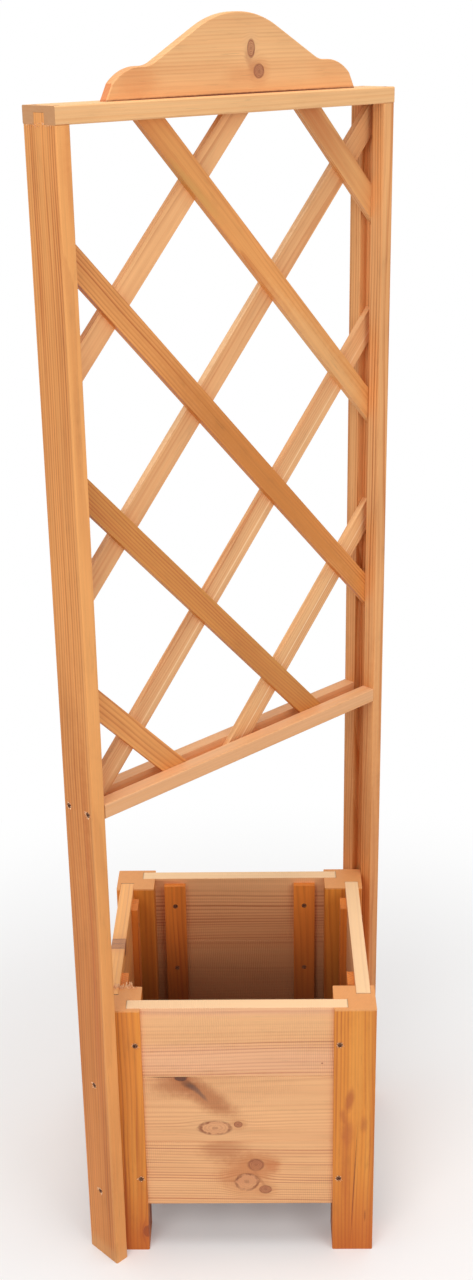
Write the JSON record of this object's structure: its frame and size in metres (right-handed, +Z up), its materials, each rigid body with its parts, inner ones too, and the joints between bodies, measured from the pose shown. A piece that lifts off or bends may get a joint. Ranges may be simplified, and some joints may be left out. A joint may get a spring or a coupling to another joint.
{
  "type": "planter with trellis",
  "caption": "Square wooden planter box on corner legs with a tall diamond-lattice trellis panel standing across its diagonal, topped by a curved crest board.",
  "frame": {"origin": "centre of the square box on the ground, which is also the middle of the whole planter's plan", "axes": "+Z up, the box's walls face +X, -X, +Y and -Y; the trellis runs along the diagonal from the front left corner (-X -Y) to the back right corner (+X +Y)"},
  "size_m": [0.454, 0.454, 1.7345],
  "materials": {
    "post_timber": "planed softwood, honey-brown stain, matt",
    "rail_timber": "planed softwood, pale honey stain, matt",
    "crest_timber": "planed softwood, pale honey stain, matt",
    "lattice_timber": "planed softwood, honey stain, matt",
    "leg_timber": "planed softwood, orange-brown stain, matt",
    "wall_timber": "fine-sawn softwood, pale tan stain, matt",
    "inner_timber": "sawn softwood, damp red-brown, matt",
    "screw_steel": "zinc plated, dulled",
    "brad_steel": "plain wire, dulled"
  },
  "bodies": {
    "root": {"back_cleat_one": "inner_timber", "back_cleat_two": "inner_timber", "back_floor_batten": "inner_timber", "back_wall_bottom_board": "wall_timber", "back_wall_middle_board": "wall_timber", "back_wall_top_board": "wall_timber", "batten_screws": "screw_steel", "bottom_rail": "rail_timber", "bottom_rail_screws": "screw_steel", "cleat_screws": "screw_steel", "crest_board": "crest_timber", "crest_screws": "screw_steel", "floor_edge_slat_left": "inner_timber", "floor_edge_slat_right": "inner_timber", "floor_screws": "screw_steel", "floor_slat_1": "inner_timber", "floor_slat_2": "inner_timber", "floor_slat_3": "inner_timber", "floor_slat_4": "inner_timber", "front_cleat_one": "inner_timber", "front_cleat_two": "inner_timber", "front_floor_batten": "inner_timber", "front_wall_bottom_board": "wall_timber", "front_wall_middle_board": "wall_timber", "front_wall_top_board": "wall_timber", "lattice_back_1": "lattice_timber", "lattice_back_2": "lattice_timber", "lattice_back_3": "lattice_timber", "lattice_back_4": "lattice_timber", "lattice_brads": "brad_steel", "lattice_front_1": "lattice_timber", "lattice_front_2": "lattice_timber", "lattice_front_3": "lattice_timber", "lattice_front_4": "lattice_timber", "lattice_front_5": "lattice_timber", "left_cleat_one": "inner_timber", "left_cleat_two": "inner_timber", "left_floor_batten": "inner_timber", "left_trellis_post": "post_timber", "left_wall_bottom_board": "wall_timber", "left_wall_middle_board": "wall_timber", "left_wall_top_board": "wall_timber", "leg_back_left": "leg_timber", "leg_back_right": "leg_timber", "leg_front_left": "leg_timber", "leg_front_right": "leg_timber", "leg_wall_screws": "screw_steel", "post_leg_screws": "screw_steel", "right_cleat_one": "inner_timber", "right_cleat_two": "inner_timber", "right_floor_batten": "inner_timber", "right_trellis_post": "post_timber", "right_wall_bottom_board": "wall_timber", "right_wall_middle_board": "wall_timber", "right_wall_top_board": "wall_timber", "top_rail": "rail_timber", "top_rail_screws": "screw_steel"}
  },
  "joints": []
}
